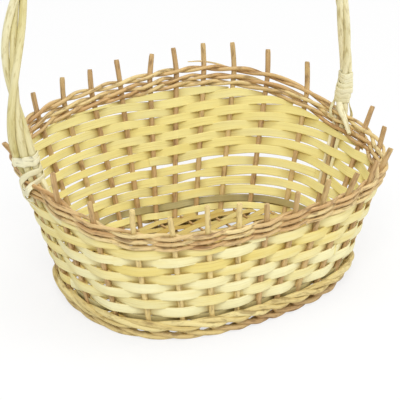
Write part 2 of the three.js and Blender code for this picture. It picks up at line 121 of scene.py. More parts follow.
# Splint rows
ROWS_AT_FRONT = 7
ROWS_AT_BACK = 13
ROW_START = 0.35
ROW_START_STEP = 5.0
ROW_OVERLAP = 0.9
ROOM_ABOVE_ROWS = 2.2
UNDER_BORDER = 1.2
SPLINT_THICKNESS = 0.8
SPLINT_SPAN = 7.4
SPLINTS_IN_ROW = 12
SPLINT_TILT = 5
NARROWEST_SPLINT = 1.5
SPLINT_SAMPLES = 14
STEEP_REACH = 0.55

# Width of a splint as a share of the rows' pitch, and how far it keeps level from stake to stake
FRONT_SPLINT = 1.13
BACK_SPLINT = 1.19
STRAIGHTEN_FRONT = 1.5
STRAIGHTEN_BACK = -0.5

# End of a whole row under its own start: its length, how soon it is in place, and its depth in thicknesses
TUCK_LENGTH = 1.4
TUCK_RAMP = 0.5
TUCK_DEPTH = 1.2

# How far each row is pushed up in the middle of the back, where the rows above are packed tight, and the
# place and reach of that
ROW_LIFTS = (0, 0.6, 1.3, 1.7, 4.6, 3.9, 3.0, 2.1, 1.3, 0.6, 0, 0, 0)
ROW_LIFT_HILL = (18.6, 3.4)

# How far all rows are pushed up at the back left, how much more each row than the one below, and the
# place and reach of that
LEFT_LIFT = 6.0
LEFT_LIFT_STEP = 0.3
LEFT_LIFT_HILL = (24.3, 3.3)

# Where all rows are narrower, at the left and at the right of the back: place, reach and by how much
SLACK_STRETCHES = ((23.4, 2.9, 0.9), (15.6, 2.1, 1.0))

# Where one row is narrower: its number, the place, the reach and by how much
SLACK_PLACES = (
    (5, 23.5, 1.3, 1.5), (4, 24.6, 1.0, 1.8), (2, 24.5, 1.6, 1.4), (3, 19.3, 0.7, 1.9),
    (2, 19.2, 0.5, 3.0), (1, 18.2, 1.6, 1.2), (7, 25.6, 1.2, 1.2), (6, 16.4, 1.0, 1.0),
)

# Narrow rows behind the wale
NARROW_SPLINT = 7.1
NARROW_PITCH = 7
NARROW_START = 1.4
NARROW_SAMPLES = 420

# Twined border
TWINE_RADIUS = 1.4
TWINE_PAIRS = 3
SEE_THROUGH = 0.8
SEE_THROUGH_RISE = 1.2
PAIR_CLOSER_AT_BACK = (0, 0.5, 1.1)
BORDER_ROD = 1.95
BORDER_RISE = 1.7
BORDER_FRONT_LIFT = 1.1
BORDER_SAMPLES = 430

# Thin loose end at the back: place, height above the rim, offset outwards and radius
LOOSE_END = [(19.6, 4, -1, 0.5), (19.1, 3.4, -0.5, 0.8), (18.6, 1, 0.5, 0.9), (18.3, -1, 2, 0.9)]
LOOSE_END_SAMPLES = 40

# Handle
HANDLE_RODS = 3
HANDLE_LEFT_RADIUS = 4.6
HANDLE_RIGHT_RADIUS = 3.1
HANDLE_RISE = 312
HANDLE_START_THIRDS = 1.25
HANDLE_TWIST_THIRDS = 10
HANDLE_END_SPREAD = 5.6
HANDLE_RIM_RADIUS = 2.6
HANDLE_TIP_RADIUS = 1.5
HANDLE_END_HEIGHT = 42
HANDLE_GATHER = 12
HANDLE_RODS_LEFT = 3.75
HANDLE_RODS_RIGHT = 3.05
HANDLE_FLATNESS = 0.66
HANDLE_FLAT_LENGTH = 0.5
HANDLE_LEFT_TURN = math.radians(-19)
HANDLE_STATIONS = 60
HANDLE_POINTS = 560
THIRD = 2 * math.pi / HANDLE_RODS

# Inner tips of the handle's rods: depth below the rim, lean in spaces, and how much thicker they are
INNER_TIP_DROP = {LEFT_POLE: 26, RIGHT_POLE: 15}
INNER_TIP_LEAN = {LEFT_POLE: 0.35, RIGHT_POLE: -0.5}
INNER_TIP_LEAN_START = 1.45
INNER_TIP_SWELL = 1.3

# Middle of the handle: from -1 at the left foot to 1 at the right one, and its share of the rise
ARCH_SHAPE = [
    (-1, 0), (-1.06, 0.14), (-1.085, 0.34), (-1.045, 0.54), (-0.955, 0.74), (-0.77, 0.9), (-0.42, 0.985),
    (-0.03, 1), (0.36, 0.97), (0.64, 0.885), (0.84, 0.74), (0.935, 0.56), (0.985, 0.37), (1.03, 0.15), (1, 0),
]
ARCH_SAMPLES = 900

# Lashings
STRAP_WIDTH = 4.6
STRAP_THICKNESS = 0.9
STRAP_GAP = 0.7
STRAP_SAMPLES = 26

# Rings round the left foot: height, tilt, width as a share of the skein's, and first direction in radians
LEFT_RINGS = ((152.6, 3.6, 1.4, 0.6), (149.0, 3.0, 1.25, 1.9))
LEFT_RING_TURN = 2.25 * math.pi
LEFT_RING_HIGH_SIDE = math.radians(145)
LEFT_RING_SAMPLES = 150

# Coil round the right foot; it bulges most at one height
COIL_BOTTOM = 132.5
COIL_TURNS = 5.4
COIL_PITCH = 5.1
COIL_START = 2.6
COIL_BULGE = 1.5
COIL_BULGE_HEIGHT = 143
COIL_BULGE_REACH = 7.5
COIL_SAMPLES = 330

# Straps: number, width, stations on the pole, stations on the border, and for one that narrows the width
# left at its tip. A station on the pole is its height, its direction in degrees from the back and its own
# gap, if it has one. A station on the border is its place, its height and its offset outwards
LEFT_KNOT = ((-0.16, 118, 7.6), (-0.18, 112.5, 7.6), (-0.15, 109.6, 5), (-0.1, 109, 0))
LEFT_STRAPS = (
    (3, 1.35, ((149, 280), (146.6, 240), (142.4, 195), (138.6, 150)),
     ((-0.06, 130, 7.3), (-0.16, 123, 7.5), *LEFT_KNOT)),
    (5, 1.4, ((142, 285), (139, 255), (135.6, 220)), ((0.26, 129.5, 7.2), (0.06, 120.5, 7.9), *LEFT_KNOT)),
    (7, 0.5, (), ((-0.14, 113, 8.3), (0.08, 111.4, 8), (0.42, 110.2, 7.2)), 0.4),
)
RIGHT_STRAPS = (
    (12, 0.8, ((140, 290, 1.6), (135, 300, 1.4)),
     ((15.12, 124.5, -7.4), (15.16, 119, -7.6), (15.14, 113.5, -6.6), (15.1, 110, -3))),
    (13, 0.9, ((138, 60, 1.2), (131, 80)),
     ((15.1, 119, 7.6), (14.95, 108, 7.6), (14.9, 99.6, 4), (14.9, 98.6, 0))),
    (14, 0.9, ((138, 150, 1.2), (131, 130)),
     ((14.8, 118, 7.8), (15.05, 107, 7.9), (15.15, 101.6, 4), (15.15, 100.4, 0))),
)

# Floor
FLOOR_INSET = 1.3
FLOOR_STICK_RADIUS = 1.8
FLOOR_STICK_SPACES = (3.5, 7.5, 11.5)
FLOOR_STICK_BED = 0.6
FLOOR_STICK_SAMPLES = 40
FLOOR_THICKNESS = 1.4
FLOOR_STRIP = 9.0
FLOOR_STRIP_THICKNESS = 0.6
FLOOR_PITCH = 9.4
FLOOR_RIB_RADIUS = 1.2
FLOOR_RIB_PITCH = 26
FLOOR_SAMPLES = 120

# Camera, fitted to the photo: turn, height angle, distance in metres, focal length in pixels and
# where the middle of the picture falls, in pixels of the 400 pixel frame
VIEW_TURN = -34.9
VIEW_HEIGHT = 25.7
VIEW_DISTANCE = 2.149
FOCAL_PIXELS = 2200
CENTRE_PIXELS = (-2.6, 1.5)
AIM_HEIGHT = 0.07
PICTURE = 400
SENSOR = 36

# Studio, in metres: lamps with their places, sizes and powers, and the patch of floor that takes a shadow
LAMP_AIM = (0, 0, 0.1)
LAMPS = {
    "key": ((-1.3, -1.6, 2.2), 1.2, 38),
    "fill": ((1.8, -1.2, 1.2), 1.6, 14),
    "top": ((0.2, 0.3, 2.4), 1.5, 17),
}
WORLD_STRENGTH = 0.52
STUDIO_REACH = 6.0
SHADOW_MIDDLE = (-0.012, -0.022)
SHADOW_HALF = (0.135, 0.105)

# Sizes that follow from the ones above
lay_radius = (2 * STAKE_RADIUS + CLEARANCE) / (2 * math.sin(math.pi / LAY_STRANDS))
lay_height = lay_radius + STAKE_RADIUS * math.cos(math.pi / STAKE_SIDES) - FOOT_CUT
stick_height = lay_height + FLOOR_STICK_BED * lay_radius + STAKE_RADIUS + CLEARANCE + FLOOR_STICK_RADIUS
floor_bottom = stick_height + FLOOR_STICK_RADIUS + CLEARANCE
wale_half_height = (WALE_SPREAD * WALE_RADIUS + CLEARANCE / 2) / math.sin(math.pi / 3) + WALE_RADIUS
wale_height = floor_bottom + wale_half_height
rows_bottom = wale_height + wale_half_height + CLEARANCE
splint_reach = STAKE_ROD + SPLINT_THICKNESS / 2 + 0.2
twine_pair_height = 2 * (TWINE_RADIUS + CLEARANCE / 2 + TWINE_RADIUS)


# Sums used throughout

def unit(vectors):
    return vectors / np.maximum(np.linalg.norm(vectors, axis=-1, keepdims=True), 1e-12)


def between(first, last, share):
    return first + (last - first) * share


def ease(share):
    """0 at the start and 1 at the end of a share, level at both."""
    share = np.clip(share, 0, 1)
    return share * share * (3 - 2 * share)


def apart(space, place):
    """How far places on the rim lie from one place, the short way round."""
    return (space - place + STAKE_COUNT / 2) % STAKE_COUNT - STAKE_COUNT / 2


def hill(space, place, reach, power=4):
    """1 at a place on the rim, falling smoothly to 0 beyond a reach in spaces."""
    return np.exp(-(apart(space, place) / reach) ** power)


def lengths_along(at, power=1):
    return np.concatenate([[0], np.cumsum(np.linalg.norm(np.diff(at[:, :3], axis=0), axis=1) ** power)])


def sampled(at, known, values):
    """Rows of values, read between the known places."""
    return np.stack([np.interp(at, known, column) for column in values.T], -1)


def waver(seed, places, wave, amount):
    """Unevenness of hand work: smooth values with waves of about a length. Each use has its own seed."""
    random = np.random.default_rng(seed)
    places = np.asarray(places, float)
    total = np.zeros_like(places)
    for octave in range(3):
        rate = 2 * math.pi * 2 ** octave / wave * random.uniform(0.8, 1.2)
        total += np.sin(places * rate + random.uniform(0, 2 * math.pi)) / 2 ** octave
    return amount * total / 1.75


# Shape of the wall

def oval(half, squareness, angle):
    def power(value):
        return np.sign(value) * np.abs(value) ** (2 / squareness)
    return np.array(half) * power(np.stack([np.cos(angle), np.sin(angle)], -1))


def wall_outline(angle, share):
    """The wall's middle at a share of the rim's height."""
    foot = oval(FOOT_HALF, FOOT_SQUARENESS, angle) + np.array(FOOT_SHIFT)
    rim = oval(RIM_HALF, RIM_SQUARENESS, angle)
    share = np.asarray(share, float)[..., None]
    return foot * (1 - share) + rim * share


OUTLINE_ANGLES = np.linspace(math.pi, 3 * math.pi, OUTLINE_SAMPLES)
OUTLINE_LENGTHS = lengths_along(wall_outline(OUTLINE_ANGLES, np.full(OUTLINE_SAMPLES, 0.5)))


def outline_angle(space):
    """Angle on the outline of a place on the rim."""
    space = np.asarray(space, float)
    turn = 2 * math.pi * space / STAKE_COUNT
    place = space + STAKE_PHASE + DRIFT_ONCE_ROUND * np.cos(turn) + DRIFT_TWICE_ROUND * np.sin(2 * turn)
    for stake, shift in POLE_SHIFTS.items():
        place = place + shift * np.maximum(0, 1 - np.abs(apart(space, stake)) / POLE_SHIFT_REACH)
    share = (place / STAKE_COUNT) % 1
    return np.interp(share * OUTLINE_LENGTHS[-1], OUTLINE_LENGTHS, OUTLINE_ANGLES)


def back_share(space):
    """0 at the middle of the front and 1 at the middle of the back."""
    return (1 + np.sin(outline_angle(space))) / 2


def rim_height_at(angle):
    rise = RIM_RISE_BACK * np.sin(angle) - RIM_RISE_LEFT * np.cos(angle)
    return RIM_HEIGHT + rise - RIM_END_SAG * np.cos(2 * angle)


def rim_height(space):
    return rim_height_at(outline_angle(space))


def wall_middle(space, z):
    z = np.asarray(z, float) + 0 * np.asarray(space, float)
    return np.concatenate([wall_outline(outline_angle(space), z / RIM_HEIGHT), z[..., None]], -1)


def wall_along(space, z, nudge=0.02):
    space = np.asarray(space, float)
    return unit(wall_middle(space + nudge, z) - wall_middle(space - nudge, z))


def wall_up(space, z, nudge=0.5):
    z = np.asarray(z, float)
    return unit(wall_middle(space, z + nudge) - wall_middle(space, z - nudge))


def wall_out(space, z):
    return unit(np.cross(wall_along(space, z), wall_up(space, z)))


def on_wall(space, z, offset=0):
    offset = np.asarray(offset, float)[..., None]
    return wall_middle(space, z) + wall_out(space, z) * offset


def see_through_at(angle):
    """Height of the gap between the upper pair of the border and the other two."""
    return SEE_THROUGH + SEE_THROUGH_RISE * np.sin(angle)


def border_bottom_at(angle):
    return rim_height_at(angle) - TWINE_PAIRS * (twine_pair_height + CLEARANCE) - see_through_at(angle)


def border_bottom(space):
    return border_bottom_at(outline_angle(space))


front_pitch = (border_bottom_at(-math.pi / 2) - ROOM_ABOVE_ROWS - rows_bottom) / ROWS_AT_FRONT
back_pitch = (border_bottom_at(math.pi / 2) - ROOM_ABOVE_ROWS - rows_bottom) / ROWS_AT_BACK


def row_pitch(space):
    return between(front_pitch, back_pitch, back_share(space))


def left_lift(space, row=0):
    return (LEFT_LIFT + LEFT_LIFT_STEP * row) * hill(space, *LEFT_LIFT_HILL)


def floor_outline(step):
    """Edge of the floor mat, seen from above, at places a step apart."""
    spaces = np.arange(0, STAKE_COUNT, step)
    return on_wall(spaces, floor_bottom + FLOOR_THICKNESS, -(STAKE_RADIUS + FLOOR_INSET))[:, :2]


# The frame's own floor tells where the basket's middle lies
framed_floor = np.array(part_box("floor_mat"))[:, :2]
drawn_floor = floor_outline(0.5)
ORIGIN = np.array([*framed_floor.sum(0) / 2 - MM * (drawn_floor.min(0) + drawn_floor.max(0)) / 2, 0])


# Node trees

class Tree:
    """Adds nodes to a tree, each with its settings and with its sockets' values or links."""

    def __init__(self, tree):
        self.tree = tree

    def node(self, kind, inputs=None, **settings):
        node = self.tree.nodes.new(kind)
        for name, value in settings.items():
            setattr(node, name, value)
        for name, value in (inputs or {}).items():
            self.feed(node.inputs[name], value)
        return node

    def result(self, kind, inputs=None, **settings):
        """First output of a new node."""
        return self.node(kind, inputs, **settings).outputs[0]

    def feed(self, socket, value):
        if isinstance(value, Value):
            value = value.socket
        if isinstance(value, bpy.types.NodeSocket):
            self.tree.links.new(value, socket)
        else:
            socket.default_value = value

    def value(self, socket):
        return Value(self, socket)

    def vector(self, x, y, z=0.0):
        return self.result("ShaderNodeCombineXYZ", {"X": x, "Y": y, "Z": z})

    def across(self, vector):
        """A vector's x and y as numbers."""
        parts = self.node("ShaderNodeSeparateXYZ", {"Vector": vector}).outputs
        return self.value(parts["X"]), self.value(parts["Y"])


class Value:
    """A number socket that works in sums: each sum adds its Math node."""

    def __init__(self, tree, socket):
        self.tree = tree
        self.socket = socket

    def math(self, operation, *others, first=None):
        node = self.tree.node("ShaderNodeMath", operation=operation)
        values = [self, *others] if first is None else [first, self, *others]
        for socket, value in zip(node.inputs, values):
            self.tree.feed(socket, value)
        return Value(self.tree, node.outputs[0])

    def __add__(self, other):
        return self.math("ADD", other)

    def __sub__(self, other):
        return self.math("SUBTRACT", other)

    def __rsub__(self, other):
        return self.math("SUBTRACT", first=other)

    def __mul__(self, other):
        return self.math("MULTIPLY", other)

    def __truediv__(self, other):
        return self.math("DIVIDE", other)

    def __pow__(self, other):
        return self.math("POWER", other)

    def above(self, low, high):
        """0 below low, 1 above high, smooth between."""
        inputs = {"Value": self, "From Min": low, "From Max": high}
        result = self.tree.result("ShaderNodeMapRange", inputs, interpolation_type="SMOOTHSTEP")
        return Value(self.tree, result)

    __radd__ = __add__
    __rmul__ = __mul__


def new_shape_tree(name, sizes):
    """Tree that makes a shape from a path, its sides, its named sizes and a material."""
    group = bpy.data.node_groups.new(name, "GeometryNodeTree")
    floats = [(size, "Float") for size in sizes]
    for label, kind in (("Path", "Geometry"), ("Sides", "Int"), *floats, ("Material", "Material")):
        group.interface.new_socket(label, in_out="INPUT", socket_type="NodeSocket" + kind)
    group.interface.new_socket("Shape", in_out="OUTPUT", socket_type="NodeSocketGeometry")
    return Tree(group)


def named_values(tree, label, kind):
    return tree.node("GeometryNodeInputNamedAttribute", {"Name": label}, data_type=kind).outputs["Attribute"]


def store_values(tree, geometry, label, kind, value):
    inputs = {"Geometry": geometry, "Name": label, "Value": value}
    return tree.result("GeometryNodeStoreNamedAttribute", inputs, data_type=kind, domain="POINT")


def sweep_tree(name, sizes, make_profile):
    """Sweeps a profile along the path; x of the profile faces out and y goes across."""
    tree = new_shape_tree(name, sizes)
    given = tree.node("NodeGroupInput").outputs
    curve = tree.result("GeometryNodeMeshToCurve", {"Mesh": given["Path"]})
    facing = named_values(tree, "facing", "FLOAT_VECTOR")
    curve = tree.result("GeometryNodeSetCurveNormal", {"Curve": curve, "Normal": facing}, mode="FREE")
    run = tree.node("GeometryNodeSplineParameter").outputs["Length"]
    curve = store_values(tree, curve, "run", "FLOAT", run)
    shape = tree.result("GeometryNodeCurveToMesh", {
        "Curve": curve, "Profile Curve": make_profile(tree, given),
        "Scale": named_values(tree, "scale", "FLOAT"), "Fill Caps": True,
    })
    shape = tree.result("GeometryNodeSetShadeSmooth", {"Geometry": shape})
    shape = tree.result("GeometryNodeRealizeInstances", {"Geometry": shape})
    shape = tree.result("GeometryNodeSetMaterial", {"Geometry": shape, "Material": given["Material"]})
    tree.feed(tree.node("NodeGroupOutput").inputs["Shape"], shape)
    return tree.tree


def circle_with(tree, given, section):
    """Circle of unit size whose points keep their place on the section."""
    circle = tree.result("GeometryNodeCurvePrimitiveCircle", {"Resolution": given["Sides"], "Radius": 1.0},
                         mode="RADIUS")
    return store_values(tree, circle, "section", "FLOAT_VECTOR", section)


def rod_profile(tree, given):
    """Round section, which the path's own scale makes as thick as the rod."""
    return circle_with(tree, given, tree.result("GeometryNodeInputPosition"))


def splint_profile(tree, given):
    """Flat strip with rounded edges and a slight crown on its outer side."""
    side, across = tree.across(tree.result("GeometryNodeInputPosition"))
    flat_side = side.math("SIGN") * side.math("ABSOLUTE") ** 0.35
    flat_across = across.math("SIGN") * across.math("ABSOLUTE") ** 0.75
    circle = circle_with(tree, given, tree.vector(flat_side, flat_across))
    side, across = tree.across(named_values(tree, "section", "FLOAT_VECTOR"))
    crown = tree.value(given["Crown"]) * (1 - across * across)
    x = side * tree.value(given["Thickness"]) * 0.5 + crown
    y = across * tree.value(given["Width"]) * 0.5
    return tree.result("GeometryNodeSetPosition", {"Geometry": circle, "Position": tree.vector(x, y)})


SPLINT_SIZES = ("Width", "Thickness", "Crown")
ROD_TREE = sweep_tree("Round rod", (), rod_profile)
SPLINT_TREE = sweep_tree("Flat splint", SPLINT_SIZES, splint_profile)


def run_of(at, facing, scale, shade, strand, swing=0.0):
    """A path to sweep: its places in millimetres, outward directions, size, paleness and number.

    Swing says which side of the stakes it passes, from 1 outside to -1 inside.
    """
    count = len(at)
    return {"at": at, "facing": facing, "scale": np.broadcast_to(scale, count),
            "shade": np.broadcast_to(shade, count), "strand": np.full(count, float(strand)),
            "swing": np.broadcast_to(swing, count)}


def path_mesh(name, runs):
    """Mesh of open runs with their values kept on its points."""
    edges, first = [], 0
    for run in runs:
        count = len(run["at"])
        edges += [(first + i, first + i + 1) for i in range(count - 1)]
        first += count
    places = np.concatenate([run["at"] for run in runs]) * MM + ORIGIN
    mesh = bpy.data.meshes.new(name)
    mesh.from_pydata(places.tolist(), edges, [])
    facing = mesh.attributes.new("facing", "FLOAT_VECTOR", "POINT")
    facing.data.foreach_set("vector", np.concatenate([run["facing"] for run in runs]).astype("f").ravel())
    for label in ("scale", "shade", "strand", "swing"):
        values = mesh.attributes.new(label, "FLOAT", "POINT")
        values.data.foreach_set("value", np.concatenate([run[label] for run in runs]).astype("f"))
    return mesh


def add_object(name, data):
    made = bpy.data.objects.new(name, data)
    bpy.context.scene.collection.objects.link(made)
    return made


def add_piece(name, tree, runs, inputs, nodes):
    """Bakes a node tree on its paths into a plain mesh, and puts that in place of its frame nodes."""
    path = path_mesh(name + "_path", runs)
    host = add_object(name + "_path", path)
    modifier = host.modifiers.new("Shape", "NODES")
    modifier.node_group = tree
    for item in tree.interface.items_tree:
        if item.in_out == "INPUT" and item.name in inputs:
            modifier[item.identifier] = inputs[item.name]
    depsgraph = bpy.context.evaluated_depsgraph_get()
    mesh = bpy.data.meshes.new_from_object(host.evaluated_get(depsgraph))
    mesh.name = name
    bpy.data.objects.remove(host)
    bpy.data.meshes.remove(path)
    piece = add_object(name, mesh)
    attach(piece, "root")
    if nodes:
        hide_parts(*nodes)


def add_rods(name, runs, sides, finish, slot, *nodes):
    add_piece(name, ROD_TREE, runs, {"Sides": sides, "Material": finish}, nodes)


def add_splints(name, runs, sides, sizes, finish, slot, *nodes):
    """Splints whose sizes are width, thickness and crown in millimetres."""
    lengths = {label: size * MM for label, size in zip(SPLINT_SIZES, sizes)}
    add_piece(name, SPLINT_TREE, runs, {"Sides": sides, "Material": finish, **lengths}, nodes)


# Finishes

def colour(code):
    """Linear colour of a written one, such as e9cf7a."""
    parts = [int(code[i:i + 2], 16) / 255 for i in (0, 2, 4)]
    return (*[p / 12.92 if p <= 0.04045 else ((p + 0.055) / 1.055) ** 2.4 for p in parts], 1)


def layered(tree, code, *layers):
    """A colour with others laid over it, each where its share says so."""
    base = colour(code)
    for share, over in layers:
        node = tree.node("ShaderNodeMix", data_type="RGBA")
        for socket, value in zip((0, 6, 7), (share, base, colour(over))):
            tree.feed(node.inputs[socket], value)
        base = node.outputs[2]
    return base


def new_finish(name):
    material = bpy.data.materials.new(name)
    material.use_nodes = True
    return material, Tree(material.node_tree), material.node_tree.nodes["Principled BSDF"]


def set_surface(tree, shader, base, roughness, specular, relief, strength, depth):
    bump = tree.result("ShaderNodeBump", {"Height": relief, "Strength": strength, "Distance": depth})
    for name, value in (("Base Color", base), ("Roughness", roughness), ("Specular IOR Level", specular),
                        ("Normal", bump)):
        tree.feed(shader.inputs[name], value)


def kept(tree, label):
    """A value that the path kept for its piece."""
    return tree.value(tree.node("ShaderNodeAttribute", attribute_name=label).outputs["Fac"])


def surface_place(tree):
    """Place on a swept piece: out and across its section from -1 to 1, and along its run in metres."""
    section = tree.node("ShaderNodeAttribute", attribute_name="section").outputs["Vector"]
    return (*tree.across(section), kept(tree, "run"), kept(tree, "shade"), kept(tree, "strand"))


def noise(tree, x, y, z, detail=3.0, roughness=0.55):
    return tree.value(tree.result("ShaderNodeTexNoise", {
        "Vector": tree.vector(x, y, z), "Scale": 1.0, "Detail": detail, "Roughness": roughness,
    }))


def splint_finish(name, width, pale, golden, deep, inner):
    """Shaved splint: straight grain, yellow blotches, a warmer inner side, and painted shade behind the
    stakes.
    """
    material, tree, shader = new_finish(name)
    side, across, run, shade, strand = surface_place(tree)
    place = across * (width / 2)
    seed = strand * 7.3
    streaks = noise(tree, place * 1.5 + seed, side * 0.4, run * 14, 4.0, 0.65)
    fibres = noise(tree, place * 4.2 + seed, side * 0.4, run * 30, 2.0)
    blotches = noise(tree, place * 0.13 + seed, 0.0, run * 22, 2.0)
    greener = noise(tree, place * 0.05 + seed, 3.0, run * 9, 1.0)
    # Painted shade: the face on the far side of the stakes, where the strip dips behind them, is made darker
    painted_shade_behind = (side * kept(tree, "swing") * -1).above(0.15, 1.0)
    # Darker edges: partly the splint's own edge tone, partly painted shade of the seams between splints
    seam_shade_and_edge_tone = across.math("ABSOLUTE").above(0.86, 1.0)
    base = layered(
        tree, pale, ((blotches * 0.8 + shade * 0.75 - 0.25).above(0.1, 0.95), golden),
        (side.above(0.2, -0.2) * 0.8, inner), (greener.above(0.5, 0.7) * 0.35, "e3deac"),
        (painted_shade_behind * 0.4, deep), (streaks.above(0.5, 0.76) * 0.42, deep),
        (fibres.above(0.62, 0.8) * 0.35, deep), (seam_shade_and_edge_tone * 0.45, deep),
    )
    set_surface(tree, shader, base, 0.48 + streaks * 0.25, 0.35, streaks + fibres * 0.5, 0.4, 0.0004)
    return material


def willow_finish(name, radius, light, dark, pale, stain):
    """Willow rod: long grain, mottled skin, stained knots, and paler where its shade says so."""
    material, tree, shader = new_finish(name)
    x, y, run, shade, strand = surface_place(tree)
    seed = strand * 5.7
    grain = noise(tree, x * (0.9 * radius) + seed, y * (0.9 * radius), run * 22, 4.0, 0.6)
    mottle = noise(tree, x * (0.3 * radius) + seed, y * (0.3 * radius), run * 90)
    knots = noise(tree, x * 0.5 + seed, y * 0.5, run * 26, 1.0)
    base = layered(
        tree, light, (grain.above(0.3, 0.7), dark), ((shade + grain * 0.4 - 0.2).above(0.0, 1.0), pale),
        (mottle.above(0.48, 0.74) * 0.65, stain), (knots.above(0.66, 0.75) * 0.6, stain),
    )
    set_surface(tree, shader, base, 0.45 + grain * 0.25, 0.4, grain + mottle * 0.4, 0.45, 0.0006)
    return material


stake_finish = willow_finish("brown_willow", STAKE_ROD, "cfad7a", "a68353", "e2cb8b", "704d2a")
border_finish = willow_finish("tan_willow", BORDER_ROD, "dcb981", "b38955", "e6d095", "66401f")
wale_finish = willow_finish("pale_willow", WALE_RADIUS, "e1cd8a", "c5aa66", "ebdb9c", "866730")
handle_finish = willow_finish("peeled_willow", 3.8, "e2d8a3", "c8bc77", "f4edc8", "ad9a55")
wall_finish = splint_finish("wall_splint", 9, "f3edbc", "e6d27b", "bd9b48", "f8ec9c")
green_finish = splint_finish("green_splint", 7, "bcaf7c", "a09058", "6e5f36", "a69764")
strap_finish = splint_finish("strap_skein", STRAP_WIDTH, "f1eccb", "e4dbaa", "b5a56c", "ddd29c")
# The floor splint's colours are darker than the wall's: painted shade of the basket's inside
shaded_floor_finish = splint_finish("floor_splint", FLOOR_STRIP, "d4bf77", "bd9f51", "855f28", "ba9a49")


# Stakes and foot border

def stake_run(index):
    """A stake from its cut tip down the wall and along the foot border."""
    random = np.random.default_rng(100 + index)
    longer, lean = STUBS.get(index, (0, 0))
    rim = rim_height(index)
    stub = STUB_LENGTH + longer
    top = rim - CLEARANCE if index in POLE_SHIFTS else rim + stub
    lay_top = LAY_MIDDLE + LAY_RISE
    wall_z = np.linspace(top, lay_top + 2 * STAKE_RADIUS, WALL_SAMPLES)
    wall_space = np.full(WALL_SAMPLES, float(index))
    above = np.clip((wall_z - rim + LEAN_DEPTH) / (stub + LEAN_DEPTH), 0, 1)
    wall_at = on_wall(wall_space, wall_z, above * random.uniform(-0.9, 0.6) + waver(index, wall_z, 60, 0.2))
    wall_at[:, 0] += lean * above ** 1.3
    turns = np.linspace(LAY_START, LAY_LENGTH, LAY_SAMPLES)
    angle = math.pi / 2 - 2 * math.pi * turns / LAY_STRANDS
    lay_z = LAY_MIDDLE + LAY_RISE * np.sin(angle)
    lay_at = on_wall(index + turns, lay_z, lay_radius * np.cos(angle) + waver(200 + index, turns, 1.3, 0.3))
    bend = np.array([on_wall(index + beyond, lay_top + up * STAKE_RADIUS) for beyond, up in LAY_BEND])
    at = np.concatenate([wall_at, bend, lay_at])
    facing = np.concatenate([
        wall_out(wall_space, wall_z), wall_out(wall_space[:len(LAY_BEND)], lay_top),
        wall_out(index + turns, lay_z),
    ])
    length = lengths_along(at)
    laid = ease((length - length[WALL_SAMPLES - 1] + 4) / 22)
    end = ease((length[-1] - length) / LAY_TAPER)
    radius = between(STAKE_ROD, LAY_ROD, laid)
    radius = radius * (1 + waver(300 + index, length, 70, 0.05)) * (0.7 + 0.3 * end)
    radius[0] *= 0.86
    at[:, 2] = np.maximum(at[:, 2], radius)
    wall_shade = 0.85 if index in PALE_STUBS else random.uniform(0.0, 0.4)
    wall_shade = wall_shade + waver(310 + index, length, 60, 0.15)
    laid_shade = random.uniform(0.05, 0.4) if index in BROWN_LAYS else random.uniform(0.6, 1.0)
    shade = wall_shade * (1 - laid) + laid_shade * laid
    return run_of(at, facing, radius * MM, shade, index)


def make_stakes():
    for index in range(STAKE_COUNT):
        number = f"{index + 1:02d}"
        runs = [stake_run(index)]
        add_rods("willow_stake_" + number, runs, 12, stake_finish, "stake_willow", "stake_" + number)


# Wale

def wale_run(first):
    """A rod of the wale, outside two stakes and inside the third."""
    last = STAKE_COUNT + (first - STAKE_COUNT) % WALE_RODS
    space = np.linspace(first, last - WALE_END_GAP, WALE_SAMPLES)
    share = (space - first) / WALE_RODS
    phase = share - np.round(share)
    inward = np.where(np.abs(phase) < 1 / 3, np.cos(1.5 * math.pi * phase) ** 2, 0)
    rise = WALE_RISE * np.sin(2 * math.pi * phase) / math.sin(math.pi / 3)
    z = wale_height - WALE_SINK + rise + waver(20 + first, space, 5, 0.35)
    reach = STAKE_RADIUS + WALE_RADIUS + CLEARANCE
    at = on_wall(space, z, reach * (1 - WALE_TUCK * inward) + waver(25 + first, space, 2.3, 0.2))
    radius = WALE_RADIUS * (1 - WALE_PINCH * inward) * (1 + waver(30 + first, space, 6, 0.07))
    return run_of(at, wall_out(space, z), radius * MM, 0.45 + waver(40 + first, space, 9, 0.45), first)


def make_wale():
    for rod in range(WALE_RODS):
        add_rods(f"wale_{rod + 1}", [wale_run(rod)], 12, wale_finish, "wale_willow", f"wale_rod_{rod + 1}")


# Splint rows

def row_span(row):
    """First and last place of a row, and whether it goes all the way round."""
    if row < ROWS_AT_FRONT:
        start = (row * ROW_START_STEP) % STAKE_COUNT + ROW_START
        return start, start + STAKE_COUNT + ROW_OVERLAP, True
    step = 0.05
    most = STAKE_COUNT / 2 - 0.1

    def room(space):
        above = border_bottom(space) - rows_bottom - (row + 0.15) * row_pitch(space)
        return above - left_lift(space, row) / 2

    start = end = back = STAKE_COUNT * 3 / 4
    while back - start < most and room(start - step) > 0:
        start -= step
    while end - back < most and room(end + step) > 0:
        end += step
    return start, end, False


def near_handle(space):
    """1 at a foot of the handle, falling smoothly to 0 beside it."""
    away = np.min([np.abs(apart(space, stake)) for stake in POLE_SHIFTS], axis=0)
    return ease(1 - away / STEEP_REACH)


def weave_swing(space, steep=0):
    """From 1 outside a stake to -1 inside the next, nearly straight between them, or steeper."""
    corner = 2 * np.abs(space % 2 - 1) - 1
    swing = 0.35 * np.cos(math.pi * space) + 0.65 * corner
    return np.sign(swing) * np.abs(swing) ** (1 - 0.4 * steep)


def row_joints(row, start, end, side):
    """Places where one splint of a row ends and the next begins, each hidden by a stake from the camera."""
    places = []
    place = start + 3 + row % 4
    while place < end:
        at_back = math.sin(outline_angle(place)) > 0
        stake = round(place)
        if (stake % 2 == 0) != ((side > 0) == at_back):
            stake += 1
        places.append(stake)
        place = stake + SPLINT_SPAN
    return places


